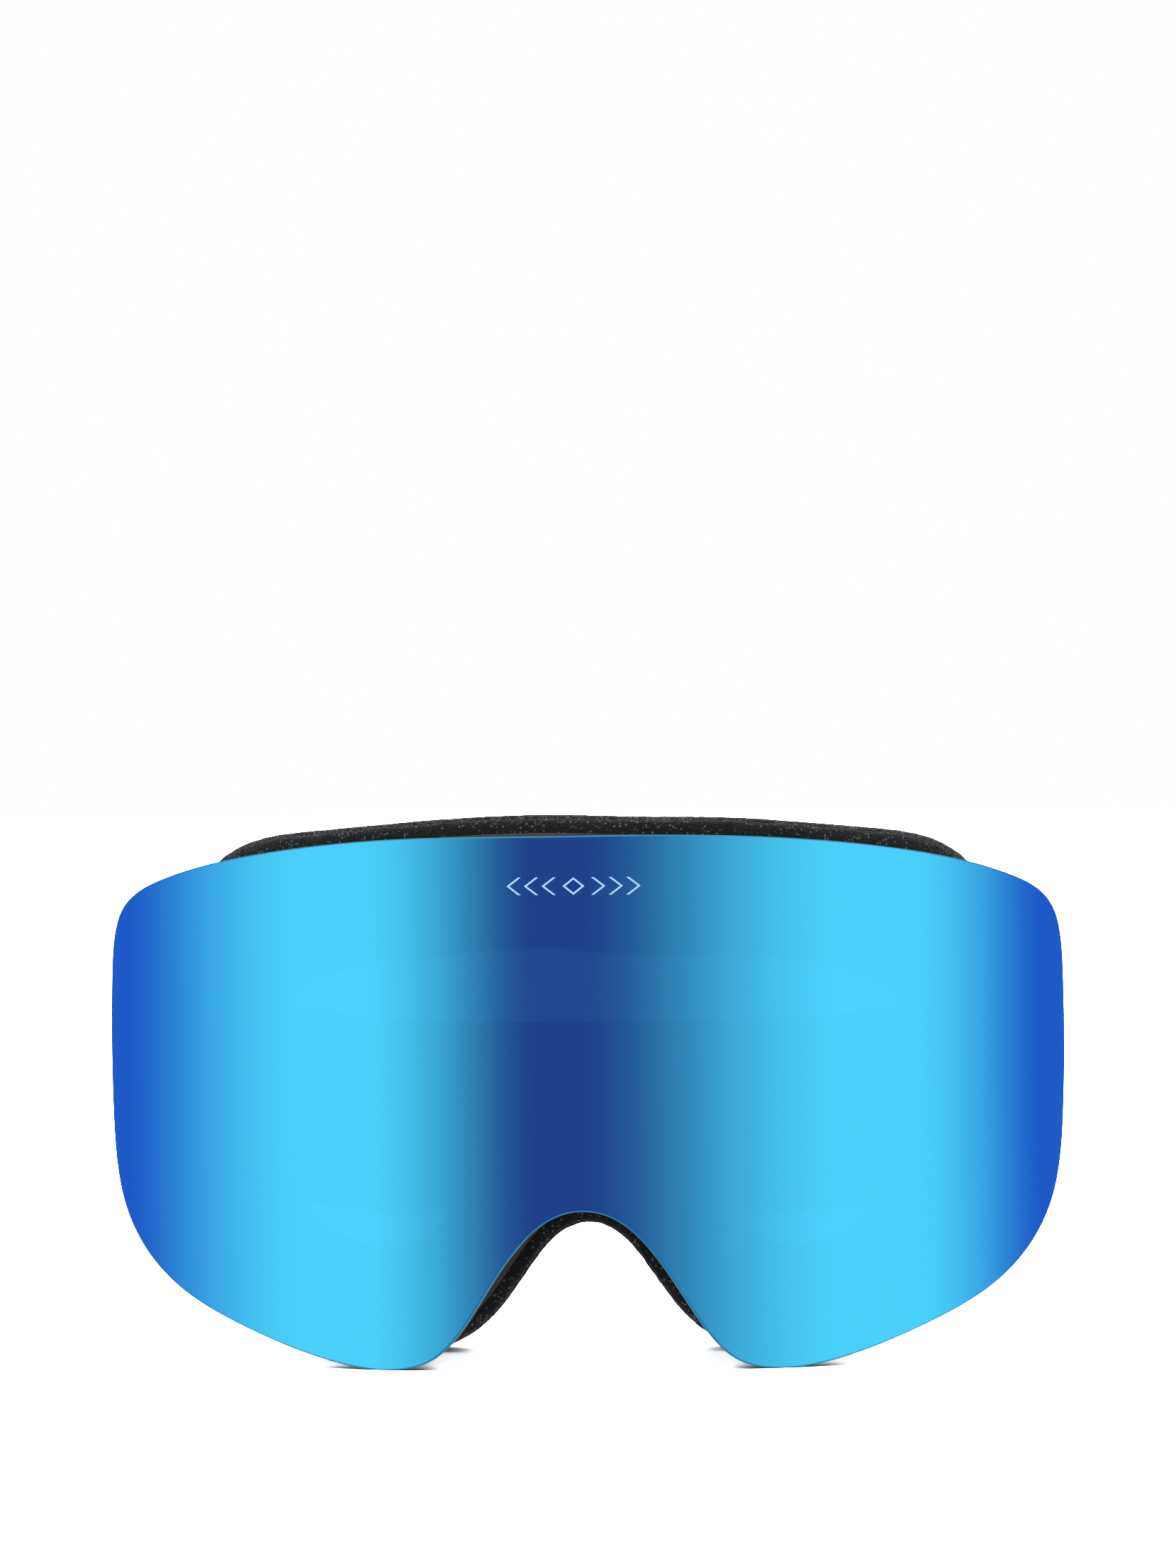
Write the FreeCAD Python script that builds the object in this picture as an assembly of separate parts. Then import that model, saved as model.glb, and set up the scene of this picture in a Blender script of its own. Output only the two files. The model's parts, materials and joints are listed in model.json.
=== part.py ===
import FreeCAD, Part

import math
import os

from FreeCAD import Base, Vector

# Ski goggles with a frameless cylindrical lens that is held on by magnets.
# Millimetres. X is to the right as seen from in front, Y runs from the lens back to the strap,
# Z is up. The origin is on the ground, midway between the lens front and the back of the strap.

# ---- driving dimensions ----
LENS_RADIUS = 112.0        # outer face of the lens, a cylinder about a vertical axis
LENS_THICK = 1.4
CARRIER_THICK = 3.6        # plastic ring bonded behind the lens edge, holding the magnets
SPACER_THICK = 2.4         # gasket between the two lens sheets
INNER_LENS_THICK = 0.8
LENS_GAP = 0.3             # air between the lens module and the chassis
FLANGE_THICK = 2.2         # chassis flange that the lens module lands on
WALL_THICK = 2.2
FACE_RADIUS = 100.0        # plan curve of the wearer's face
SPLIT_RADIUS = 97.0        # plan curve of the joint between the chassis and the face frame
SPLIT_DEPTH = 30.0         # depths are from the lens front, on the centre line
PLATE_DEPTH = 38.0
FOAM_DEPTH = 40.0
BASE_FOAM_THICK = 4.0
MID_FOAM_THICK = 10.0
FLEECE_THICK = 2.5
FACE_BACK_DEPTH = FOAM_DEPTH + BASE_FOAM_THICK + MID_FOAM_THICK + FLEECE_THICK
STRAP_WIDTH = 40.0
STRAP_THICK = 1.6
STRAP_Z = 50.0             # height of the strap's middle
SIDE_RUN_END = 152.0       # depth where the strap's straight side run ends
REAR_START = 153.0
REAR_BULGE = 58.0          # how far the rear of the strap stands behind REAR_START
REAR_DROOP = 15.3          # how far the slack strap sags at the back, off the head
HINGE_X = 84.0
HINGE_DEPTH = 66.0
PIN_RADIUS = 1.2
PIN_CLEARANCE = 0.05
BAR_X = 83.0               # strap bar at the rear of each outrigger
BAR_DEPTH = 92.0
BAR_RADIUS = 1.3
WRAP_RADIUS = 1.6          # inside of the webbing where it turns round the bar
SLIDER_DEPTH = 128.0       # front edge of the slider, at rest
SLIDER_LENGTH = 14.0

# Right halves of the outlines, seen from in front as (x, z), from the top centre round to the nose.
LENS_HALF = [
    (0.0, 97.4), (34.0, 96.9), (60.0, 94.1), (78.8, 89.2), (87.2, 82.6), (89.0, 70.0),
    (88.9, 46.0), (86.8, 29.2), (79.2, 16.7), (65.0, 7.9), (48.0, 1.8), (36.0, 0.0),
    (28.2, 1.7), (21.0, 9.2), (11.2, 23.2), (5.7, 27.7), (0.0, 29.1),
]
FACE_HALF = [
    (0.0, 100.2), (30.0, 99.4), (52.0, 97.4), (67.6, 93.8), (74.9, 86.4), (76.6, 71.5),
    (76.0, 48.0), (73.5, 31.0), (67.0, 17.5), (58.5, 6.8), (50.0, 1.8), (40.0, 0.4),
    (28.0, 0.5), (20.0, 4.7), (10.1, 17.2), (5.1, 22.5), (0.0, 24.2),
]
OPENING_HALF = [
    (0.0, 75.2), (30.0, 74.0), (50.0, 70.2), (61.0, 62.8), (64.5, 50.0), (61.5, 36.0),
    (53.0, 25.0), (42.0, 19.0), (33.0, 20.0), (25.0, 28.0), (16.0, 35.6), (7.0, 38.6),
    (0.0, 39.0),
]

# ---- values that follow from them ----
SIDE_X = BAR_X + WRAP_RADIUS + STRAP_THICK      # outer face of the strap's side run
REAR_DEPTH = REAR_START + REAR_BULGE + STRAP_THICK / 2
FRONT_Y = -REAR_DEPTH / 2
LENS_AXIS_Y = FRONT_Y + LENS_RADIUS
CARRIER_OUTER_R = LENS_RADIUS - LENS_THICK
CARRIER_INNER_R = CARRIER_OUTER_R - CARRIER_THICK
SPACER_INNER_R = CARRIER_OUTER_R - SPACER_THICK
FLANGE_R = CARRIER_INNER_R - LENS_GAP
FLANGE_BACK_R = FLANGE_R - FLANGE_THICK

CARRIER_EDGE = 0.8         # insets from the lens outline, measured along the lens
CARRIER_WIDTH_END = 4.8
INNER_LENS_EDGE = 5.0
SPACER_END = 7.4
FLANGE_END = 6.4
WALL_SETBACK = 1.0         # how far the wall starts behind the flange's front
WALL_EDGE = 1.6
FACE_WALL_EDGE = 3.2       # insets from the face outline
BASE_FOAM_EDGE = 0.5
FLEECE_EDGE = 0.4

Z_LOW = -10.0              # cutting tools reach from below the ground to above the goggles
Z_HIGH = 115.0
TOOL_MARGIN = 1.0
TUNNEL_FRONT = -12.0
TUNNEL_BACK = 112.0
OFFSET_TOLERANCE = 0.001
SEW_TOLERANCE = 0.01
KNOTS_PER_EDGE = 2
CYLINDER_FRONT = 1.5 * math.pi          # angle round an upright cylinder that faces forwards
SAME_WAY = 0.9                          # cosine above which an edge counts as lying along an axis


def save(shape, name):
    """Writes one sub-part."""
    shape.exportStep(f"parts/{name}.step")


def at_depth(depth):
    """The Y coordinate at a depth behind the lens front."""
    return FRONT_Y + depth


def mirrored(shape):
    """The left-hand twin of a right-hand piece."""
    return shape.mirror(Vector(0, 0, 0), Vector(1, 0, 0))


def box(x, y, z):
    """A block from three (low, high) pairs."""
    return Part.makeBox(x[1] - x[0], y[1] - y[0], z[1] - z[0], Vector(x[0], y[0], z[0]))


def rounded_box(x, y, z, radius, axis):
    """A block whose edges along one axis are rounded."""
    block = box(x, y, z)
    edges = [e for e in block.Edges if abs(e.tangentAt(e.FirstParameter).dot(axis)) > SAME_WAY]
    return block.makeFillet(radius, edges)


def post(x, y, z, radius):
    """A vertical round bar from z[0] to z[1]."""
    return Part.makeCylinder(radius, z[1] - z[0], Vector(x, y, z[0]))


# ---- outlines ----
def whole(half):
    """A closed outline from its right half."""
    return half + [(-x, z) for x, z in half[-2:0:-1]]


def unrolled(points):
    """An outline seen from in front, as distances along the curved lens face."""
    return [(LENS_RADIUS * math.asin(x / LENS_RADIUS), z) for x, z in points]


def knots(points):
    """Distances along the outline at its points, closing on the first."""
    total = [0.0]
    for a, b in zip(points, points[1:] + points[:1]):
        total.append(total[-1] + math.hypot(b[0] - a[0], b[1] - a[1]))
    return total


def spans(points):
    """The outline's knots as pairs, one for each edge of its wire."""
    stops = knots(points)
    return list(zip(stops[:-1:KNOTS_PER_EDGE], stops[KNOTS_PER_EDGE::KNOTS_PER_EDGE]))


def flat_curve(points):
    """A smooth closed curve through an outline's points."""
    curve = Part.Geom2d.BSplineCurve2d()
    curve.interpolate(
        Points=[Base.Vector2d(*p) for p in points], PeriodicFlag=True, Parameters=knots(points)
    )
    return curve


def inset(points, distance):
    """The outline moved inwards by a distance."""
    curve = flat_curve(points)
    moved = []
    for at, (a, b) in zip(knots(points), points):
        along = curve.tangent(at)
        length = math.hypot(along.x, along.y)
        moved.append((a + distance * along.y / length, b - distance * along.x / length))
    return moved


LENS = unrolled(whole(LENS_HALF))
FACE = whole(FACE_HALF)
OPENING = whole(OPENING_HALF)


# ---- solids made from outlines ----
def curved_face(points, radius):
    """An outline laid on a cylinder about the lens axis."""
    cylinder = Part.Cylinder()
    cylinder.Center = Vector(0, LENS_AXIS_Y, 0)
    cylinder.Radius = radius
    curve = flat_curve(points)
    for i in range(1, curve.NbPoles + 1):
        pole = curve.getPole(i)
        curve.setPole(i, Base.Vector2d(pole.x / LENS_RADIUS + CYLINDER_FRONT, pole.y))
    edges = [curve.toShape(cylinder, a, b) for a, b in spans(points)]
    face = Part.Face(cylinder, Part.Wire(edges))
    face.validate()
    return face


def curved_slab(points, outer, inner):
    """A sheet of lens shape between two radii."""
    return curved_face(points, outer).makeOffsetShape(inner - outer, OFFSET_TOLERANCE, fill=True)


def curved_ring(first, last, outer, inner):
    """A ring that follows the lens edge, between two insets and two radii."""
    hole = curved_slab(inset(LENS, last), outer + TOOL_MARGIN, inner - TOOL_MARGIN)
    return curved_slab(inset(LENS, first), outer, inner).cut(hole)


def space_edges(places, points):
    """A smooth closed chain of edges through places in space, spaced like an outline's points."""
    curve = Part.BSplineCurve()
    curve.interpolate(Points=places, PeriodicFlag=True, Parameters=knots(points))
    return [curve.toShape(a, b) for a, b in spans(points)]


def face_y(x, depth, radius):
    """Y on an upright cylinder whose front is at a depth on the centre line."""
    return at_depth(depth) + radius - math.sqrt(radius ** 2 - x ** 2)


def closed_solid(faces):
    """The solid inside faces that meet all round."""
    shell = Part.makeShell(faces)
    shell.sewShape(SEW_TOLERANCE)
    solid = Part.makeSolid(shell)
    if solid.Volume < 0:
        solid.reverse()
    return solid


def tunnel(lens_inset, face_inset):
    """A solid that runs from the lens outline to the face outline, longer than the goggles."""
    front = []
    for s, z in inset(LENS, lens_inset):
        angle = s / LENS_RADIUS
        reach = FLANGE_R + TOOL_MARGIN
        front.append(Vector(reach * math.sin(angle), LENS_AXIS_Y - reach * math.cos(angle), z))
    back = [Vector(x, face_y(x, FACE_BACK_DEPTH, FACE_RADIUS), z) for x, z in inset(FACE, face_inset)]
    spacing = [(p.x, p.z) for p in front]
    rows = [
        [Vector(p.x, at_depth(TUNNEL_FRONT), p.z) for p in front],
        front,
        back,
        [Vector(p.x, at_depth(TUNNEL_BACK), p.z) for p in back],
    ]
    chains = [space_edges(row, spacing) for row in rows]
    faces = [Part.Face(Part.Wire(chain)) for chain in (chains[0], chains[-1])]
    for ahead, behind in zip(chains, chains[1:]):
        faces += [Part.makeRuledSurface(a, b) for a, b in zip(ahead, behind)]
    return closed_solid(faces)


def upright_cylinder(depth, radius):
    """An upright cylinder whose front is at a depth on the centre line."""
    return post(0, at_depth(depth) + radius, (Z_LOW, Z_HIGH), radius)


def lens_cylinder(radius):
    """An upright cylinder about the lens axis."""
    return post(0, LENS_AXIS_Y, (Z_LOW, Z_HIGH), radius)


def prism(points):
    """An outline drawn straight back through the goggles."""
    places = [Vector(x, at_depth(TUNNEL_FRONT), z) for x, z in points]
    face = Part.Face(Part.Wire(space_edges(places, points)))
    return face.extrude(Vector(0, TUNNEL_BACK - TUNNEL_FRONT, 0))


def face_ring(edge, first, last):
    """A pad that follows the face, between two depths."""
    pad = prism(inset(FACE, edge)).cut(prism(OPENING))
    return pad.common(upright_cylinder(first, FACE_RADIUS)).cut(upright_cylinder(last, FACE_RADIUS))


# ---- magnets ----
MAGNET_INSET = (CARRIER_EDGE + CARRIER_WIDTH_END) / 2
MAGNET_SIZE = (9.0, 2.2, 1.6)          # along the edge, across it, thickness
MAGNET_STATIONS = (1.5, 3.0, 5.3, 7.6, 9.6)  # places along the right half of the lens outline


def magnet_places():
    """Where the magnets sit along the lens edge: (s, z, slope), right side then left."""
    track = inset(LENS, MAGNET_INSET)
    curve = flat_curve(track)
    stops = knots(track)
    places = []
    for station in MAGNET_STATIONS:
        low = int(station)
        at = stops[low] + (station - low) * (stops[low + 1] - stops[low])
        spot = curve.value(at)
        along = curve.tangent(at)
        slope = math.degrees(math.atan2(along.y, along.x))
        places.append((spot.x, spot.y, slope))
        places.append((-spot.x, spot.y, -slope))
    return places


def magnets(front_radius):
    """Bar magnets whose front faces are at a radius from the lens axis."""
    length, width, thick = MAGNET_SIZE
    bars = []
    for s, z, slope in magnet_places():
        turn = math.degrees(s / LENS_RADIUS)
        bar = Part.makeBox(length, thick, width, Vector(-length / 2, 0, -width / 2))
        bar.rotate(Vector(0, 0, 0), Vector(0, 1, 0), -slope)
        bar.translate(Vector(0, LENS_AXIS_Y - front_radius, z))
        bar.rotate(Vector(0, LENS_AXIS_Y, 0), Vector(0, 0, 1), turn)
        bars.append(bar)
    return Part.makeCompound(bars)


MAGNET_COVER = 0.2                      # skin of plastic over each magnet
CARRIER_MAGNET_R = CARRIER_INNER_R + MAGNET_SIZE[2] + MAGNET_COVER
CHASSIS_MAGNET_R = FLANGE_R - MAGNET_COVER

# ---- lens module ----
TAB_X = (82.4, 84.0)                    # tabs on the carrier that locate it in the chassis
TAB_DEPTH = (43.5, 53.0)
TAB_HEIGHT = 12.0
TAB_Z = (STRAP_Z - TAB_HEIGHT / 2, STRAP_Z + TAB_HEIGHT / 2)
TAB_CLEARANCE = 0.4


def carrier_tab(clearance):
    """The right-hand locating tab, or the pocket for it."""
    x = (TAB_X[0] - clearance, TAB_X[1] + 2 * clearance)
    y = (at_depth(TAB_DEPTH[0] - clearance), at_depth(TAB_DEPTH[1] + clearance))
    z = (TAB_Z[0] - clearance, TAB_Z[1] + clearance)
    return box(x, y, z)


def make_outer_lens():
    return curved_slab(LENS, LENS_RADIUS, CARRIER_OUTER_R)


def make_lens_carrier():
    ring = curved_ring(CARRIER_EDGE, CARRIER_WIDTH_END, CARRIER_OUTER_R, CARRIER_INNER_R)
    tab = carrier_tab(0).common(lens_cylinder(CARRIER_OUTER_R - TOOL_MARGIN))
    ring = ring.fuse([tab, mirrored(tab)])
    return ring.cut(magnets(CARRIER_MAGNET_R))


def make_lens_spacer():
    return curved_ring(INNER_LENS_EDGE, SPACER_END, CARRIER_OUTER_R, SPACER_INNER_R)


def make_inner_lens():
    return curved_slab(inset(LENS, INNER_LENS_EDGE), SPACER_INNER_R, SPACER_INNER_R - INNER_LENS_THICK)


# ---- frame ----
VENT_PITCH = 18.0
TOP_VENT_COUNT = 7
VENT_SIZE = (12.0, 9.0)                 # across, and front to back
VENT_CORNER = 3.0
BOTTOM_VENT_X = (46.0, 61.0)
TOP_VENT_Z = (80.0, Z_HIGH)
BOTTOM_VENT_Z = (Z_LOW, 24.0)
VENT_FOAM_THICK = 2.5
VENT_FOAM_GAP = 0.1
VENT_FOAM_TOP = ((-64.0, 64.0), (78.0, Z_HIGH))
VENT_FOAM_BOTTOM = ((36.0, 72.0), (Z_LOW, 24.0))
EAR_RADIUS = 3.8
EAR_Z = ((31.8, 36.0), (64.0, 68.2))
EAR_ROOT_X = 72.0


def vent(x, z):
    """A rounded slot through the chassis wall, midway along it."""
    front = LENS_AXIS_Y - math.sqrt(FLANGE_BACK_R ** 2 - x ** 2)
    back = face_y(x, SPLIT_DEPTH, SPLIT_RADIUS)
    middle = (front + back) / 2
    across = (x - VENT_SIZE[0] / 2, x + VENT_SIZE[0] / 2)
    along = (middle - VENT_SIZE[1] / 2, middle + VENT_SIZE[1] / 2)
    return rounded_box(across, along, z, VENT_CORNER, Vector(0, 0, 1))


def vents():
    """All the vent slots."""
    first = -VENT_PITCH * (TOP_VENT_COUNT - 1) / 2
    slots = [vent(first + i * VENT_PITCH, TOP_VENT_Z) for i in range(TOP_VENT_COUNT)]
    for x in BOTTOM_VENT_X:
        slots += [vent(x, BOTTOM_VENT_Z), vent(-x, BOTTOM_VENT_Z)]
    return slots


def hinge_ears():
    """The right-hand pair of ears that carry an outrigger's pin."""
    ears = []
    y = at_depth(HINGE_DEPTH)
    for z in EAR_Z:
        root = box((EAR_ROOT_X, HINGE_X), (y - EAR_RADIUS, y + EAR_RADIUS), z)
        ears.append(root.fuse(post(HINGE_X, y, z, EAR_RADIUS)))
    return ears


def make_frame_chassis(outside, inside):
    """The front of the tapering wall, with its lens flange, vents and hinge ears."""
    ears = hinge_ears()
    wall = outside.fuse(ears + [mirrored(ear) for ear in ears])
    wall = wall.cut([inside, upright_cylinder(SPLIT_DEPTH, SPLIT_RADIUS)])
    wall = wall.common(lens_cylinder(FLANGE_R - WALL_SETBACK))
    flange = curved_ring(CARRIER_EDGE, FLANGE_END, FLANGE_R, FLANGE_BACK_R)
    body = wall.fuse(flange)
    pocket = carrier_tab(TAB_CLEARANCE)
    y = at_depth(HINGE_DEPTH)
    pin = post(HINGE_X, y, (EAR_Z[0][0], EAR_Z[1][1]), PIN_RADIUS)
    body = body.cut(vents() + [pocket, mirrored(pocket), pin, mirrored(pin)])
    return body.cut(magnets(CHASSIS_MAGNET_R))


def make_face_frame(outside, inside):
    """The rear of the wall, and the plate that the foam is bonded to."""
    rear = outside.cut(inside).common(upright_cylinder(SPLIT_DEPTH, SPLIT_RADIUS))
    rear = rear.cut(upright_cylinder(PLATE_DEPTH, FACE_RADIUS))
    plate = face_ring(FACE_WALL_EDGE, PLATE_DEPTH, FOAM_DEPTH)
    return rear.fuse(plate)


def vent_foam_lining():
    """A thin lining inside the whole chassis wall, from which the vent foams are taken."""
    outer = WALL_THICK + VENT_FOAM_GAP
    inner = outer + VENT_FOAM_THICK
    lining = tunnel(WALL_EDGE + outer, FACE_WALL_EDGE + outer)
    lining = lining.cut(tunnel(WALL_EDGE + inner, FACE_WALL_EDGE + inner))
    lining = lining.common(lens_cylinder(FLANGE_BACK_R - VENT_FOAM_GAP))
    return lining.cut(upright_cylinder(PLATE_DEPTH - VENT_FOAM_GAP, FACE_RADIUS))


def lining_part(lining, x, z):
    """The piece of the lining within a front-view window."""
    return lining.common(box(x, (at_depth(TUNNEL_FRONT), at_depth(TUNNEL_BACK)), z))


# ---- outriggers ----
KNUCKLE_RADIUS = 3.6
KNUCKLE_Z = (36.4, 63.6)
ARM_X = (82.6, 85.4)
ARM_FLARE_DEPTH = (72.0, 80.0)
ARM_END_DEPTH = 95.2
ARM_Z = (25.4, 74.6)
ARM_CORNER = 2.0
SLOT_DEPTH = 85.2
SLOT_Z = (29.4, 70.6)
PIN_HEAD = (2.0, 0.8)


def make_outrigger():
    y = at_depth(HINGE_DEPTH)
    low = [
        (HINGE_DEPTH, KNUCKLE_Z[0]), (ARM_FLARE_DEPTH[0], KNUCKLE_Z[0]),
        (ARM_FLARE_DEPTH[1], ARM_Z[0]), (ARM_END_DEPTH, ARM_Z[0]),
    ]
    high = [(depth, 2 * STRAP_Z - z) for depth, z in reversed(low)]
    corners = [Vector(ARM_X[0], at_depth(depth), z) for depth, z in low + high]
    plate = Part.Face(Part.makePolygon(corners + corners[:1])).extrude(Vector(ARM_X[1] - ARM_X[0], 0, 0))
    across = [e for e in plate.Edges if abs(e.tangentAt(e.FirstParameter).x) > SAME_WAY]
    rounded = [e for e in across if e.CenterOfMass.y > y + TOOL_MARGIN]
    plate = plate.makeFillet(ARM_CORNER, rounded)
    slot = box((ARM_X[0] - TOOL_MARGIN, ARM_X[1] + TOOL_MARGIN),
               (at_depth(SLOT_DEPTH), at_depth(ARM_END_DEPTH + TOOL_MARGIN)), SLOT_Z)
    arm = plate.cut(slot).fuse(post(HINGE_X, y, KNUCKLE_Z, KNUCKLE_RADIUS))
    bar_z = (SLOT_Z[0] - TOOL_MARGIN, SLOT_Z[1] + TOOL_MARGIN)
    arm = arm.fuse(post(BAR_X, at_depth(BAR_DEPTH), bar_z, BAR_RADIUS))
    return arm.cut(post(HINGE_X, y, (Z_LOW, Z_HIGH), PIN_RADIUS + PIN_CLEARANCE))


def make_outrigger_pin():
    y = at_depth(HINGE_DEPTH)
    top = EAR_Z[1][1]
    shaft = post(HINGE_X, y, (EAR_Z[0][0], top), PIN_RADIUS)
    return shaft.fuse(post(HINGE_X, y, (top, top + PIN_HEAD[1]), PIN_HEAD[0]))


# ---- strap ----
STRAP_LOW = STRAP_Z - STRAP_WIDTH / 2
STRAP_HIGH = STRAP_Z + STRAP_WIDTH / 2
SLIDER_GAP = 0.3
SLIDER_BAR = 1.6                        # thickness of the slider's bars
SLIDER_BAR_LENGTH = 3.2                 # front to back
SLIDER_BAR_ROUND = 0.75
SLIDER_RAIL_HEIGHT = 3.0
SLIDER_RAIL_GAP = 0.6                   # between the webbing's edge and a rail
SLIDER_RAIL_ROUND = 1.2
SLIDER_LOW = STRAP_LOW - SLIDER_RAIL_GAP - SLIDER_RAIL_HEIGHT
SLIDER_HIGH = STRAP_HIGH + SLIDER_RAIL_GAP + SLIDER_RAIL_HEIGHT
REAR_STEPS = 24                         # points through which the rear's curves are drawn
GRIP_THICK = 0.5
GRIP_BOND = 0.03                        # glue line between the grip and the webbing
GRIP_HEIGHT = 1.8
GRIP_RISE = (-10.0, 0.0, 10.0)
GRIP_START = math.radians(49.0)         # angle round the rear where the grip lines begin


def make_strap_side():
    """The outer layer of webbing, and its turn round the strap bar."""
    y = at_depth(BAR_DEPTH)
    z = (STRAP_LOW, STRAP_HIGH)
    wrap = post(BAR_X, y, z, WRAP_RADIUS + STRAP_THICK).cut(post(BAR_X, y, z, WRAP_RADIUS))
    reach = WRAP_RADIUS + STRAP_THICK + TOOL_MARGIN
    wrap = wrap.common(box((BAR_X - reach, BAR_X + reach), (y - reach, y), z))
    run = box((SIDE_X - STRAP_THICK, SIDE_X), (y, at_depth(SIDE_RUN_END)), z)
    return wrap.fuse(run)


def make_strap_tail():
    """The inner layer of webbing, from the bar back to the slider's middle bar."""
    inner = BAR_X - WRAP_RADIUS - STRAP_THICK
    middle = SLIDER_DEPTH + (SLIDER_LENGTH - SLIDER_BAR_LENGTH) / 2
    return box((inner, inner + STRAP_THICK), (at_depth(BAR_DEPTH), at_depth(middle - SLIDER_GAP)),
               (STRAP_LOW, STRAP_HIGH))


def make_slider():
    """A three-bar slider: two bars over the webbing, and one under it that holds the tail."""
    inner = BAR_X - WRAP_RADIUS - STRAP_THICK - SLIDER_GAP
    outer = SIDE_X + SLIDER_GAP
    along = (at_depth(SLIDER_DEPTH), at_depth(SLIDER_DEPTH + SLIDER_LENGTH))
    rails = []
    for z in ((SLIDER_LOW, STRAP_LOW - SLIDER_RAIL_GAP), (STRAP_HIGH + SLIDER_RAIL_GAP, SLIDER_HIGH)):
        rails.append(rounded_box((inner, outer + SLIDER_BAR), along, z, SLIDER_RAIL_ROUND, Vector(1, 0, 0)))
    over = (outer, outer + SLIDER_BAR)
    under = (inner, inner + SLIDER_BAR)
    middle = along[0] + (SLIDER_LENGTH - SLIDER_BAR_LENGTH) / 2
    starts = [(over, along[0]), (over, along[1] - SLIDER_BAR_LENGTH), (under, middle)]
    bars = []
    for x, start in starts:
        y = (start, start + SLIDER_BAR_LENGTH)
        bars.append(rounded_box(x, y, (SLIDER_LOW, SLIDER_HIGH), SLIDER_BAR_ROUND, Vector(0, 0, 1)))
    return rails[0].fuse([rails[1]] + bars)


def rear_curve(grow, z, start):
    """A line along the strap's rear, which is half an ellipse in plan and sags at the back."""
    across = SIDE_X - STRAP_THICK / 2 + grow
    back = REAR_BULGE + grow
    places = []
    for i in range(REAR_STEPS + 1):
        angle = start + (math.pi - 2 * start) * i / REAR_STEPS
        y = at_depth(REAR_START) + back * math.sin(angle)
        places.append(Vector(across * math.cos(angle), y, z - REAR_DROOP * (1 - math.cos(angle) ** 4)))
    curve = Part.BSplineCurve()
    curve.interpolate(places)
    return curve.toShape()


def rear_band(grow, z, start):
    """A band along the strap's rear, between two distances from its middle layer."""
    rows = [
        rear_curve(grow[0], z[0], start), rear_curve(grow[0], z[1], start),
        rear_curve(grow[1], z[1], start), rear_curve(grow[1], z[0], start),
    ]
    faces = [Part.makeRuledSurface(a, b) for a, b in zip(rows, rows[1:] + rows[:1])]
    for end in (0, -1):
        corners = [row.Vertexes[end].Point for row in rows]
        faces.append(Part.Face(Part.makePolygon(corners + corners[:1])))
    return closed_solid(faces)


def make_strap_rear():
    return rear_band((STRAP_THICK / 2, -STRAP_THICK / 2), (STRAP_LOW, STRAP_HIGH), 0.0)


def make_silicone_grip():
    """Three raised lines on the inner face of the strap's rear."""
    face = -STRAP_THICK / 2 - GRIP_BOND
    lines = []
    for rise in GRIP_RISE:
        z = (STRAP_Z + rise - GRIP_HEIGHT / 2, STRAP_Z + rise + GRIP_HEIGHT / 2)
        lines.append(rear_band((face, face - GRIP_THICK), z, GRIP_START))
    return Part.makeCompound(lines)


def save_pair(shape, name):
    """Writes a right-hand piece and its left-hand twin."""
    save(shape, f"{name}_right")
    save(mirrored(shape), f"{name}_left")


def main():
    os.makedirs("parts", exist_ok=True)
    save(make_outer_lens(), "outer_lens")
    save(make_lens_carrier(), "lens_carrier")
    save(magnets(CARRIER_MAGNET_R), "carrier_magnets")
    save(make_lens_spacer(), "lens_spacer")
    save(make_inner_lens(), "inner_lens")

    outside = tunnel(WALL_EDGE, FACE_WALL_EDGE)
    inside = tunnel(WALL_EDGE + WALL_THICK, FACE_WALL_EDGE + WALL_THICK)
    save(make_frame_chassis(outside, inside), "frame_chassis")
    save(magnets(CHASSIS_MAGNET_R), "chassis_magnets")
    save(make_face_frame(outside, inside), "face_frame")
    lining = vent_foam_lining()
    save(lining_part(lining, *VENT_FOAM_TOP), "vent_foam_top")
    low_foam = lining_part(lining, *VENT_FOAM_BOTTOM)
    save(Part.makeCompound([low_foam, mirrored(low_foam)]), "vent_foam_bottom")

    mid_depth = FOAM_DEPTH + BASE_FOAM_THICK
    fleece_depth = mid_depth + MID_FOAM_THICK
    save(face_ring(BASE_FOAM_EDGE, FOAM_DEPTH, mid_depth), "foam_base_layer")
    save(face_ring(0, mid_depth, fleece_depth), "foam_mid_layer")
    save(face_ring(FLEECE_EDGE, fleece_depth, FACE_BACK_DEPTH), "fleece_layer")

    save_pair(make_outrigger(), "outrigger")
    save_pair(make_outrigger_pin(), "outrigger_pin")
    save_pair(make_strap_side(), "strap_side")
    save_pair(make_strap_tail(), "strap_tail")
    save_pair(make_slider(), "slider")
    save(make_strap_rear(), "strap_rear")
    save(make_silicone_grip(), "silicone_grip")


main()
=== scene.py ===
import json
import math

import bmesh
import bpy
import numpy as np
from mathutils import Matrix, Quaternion, Vector, geometry, noise


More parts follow.
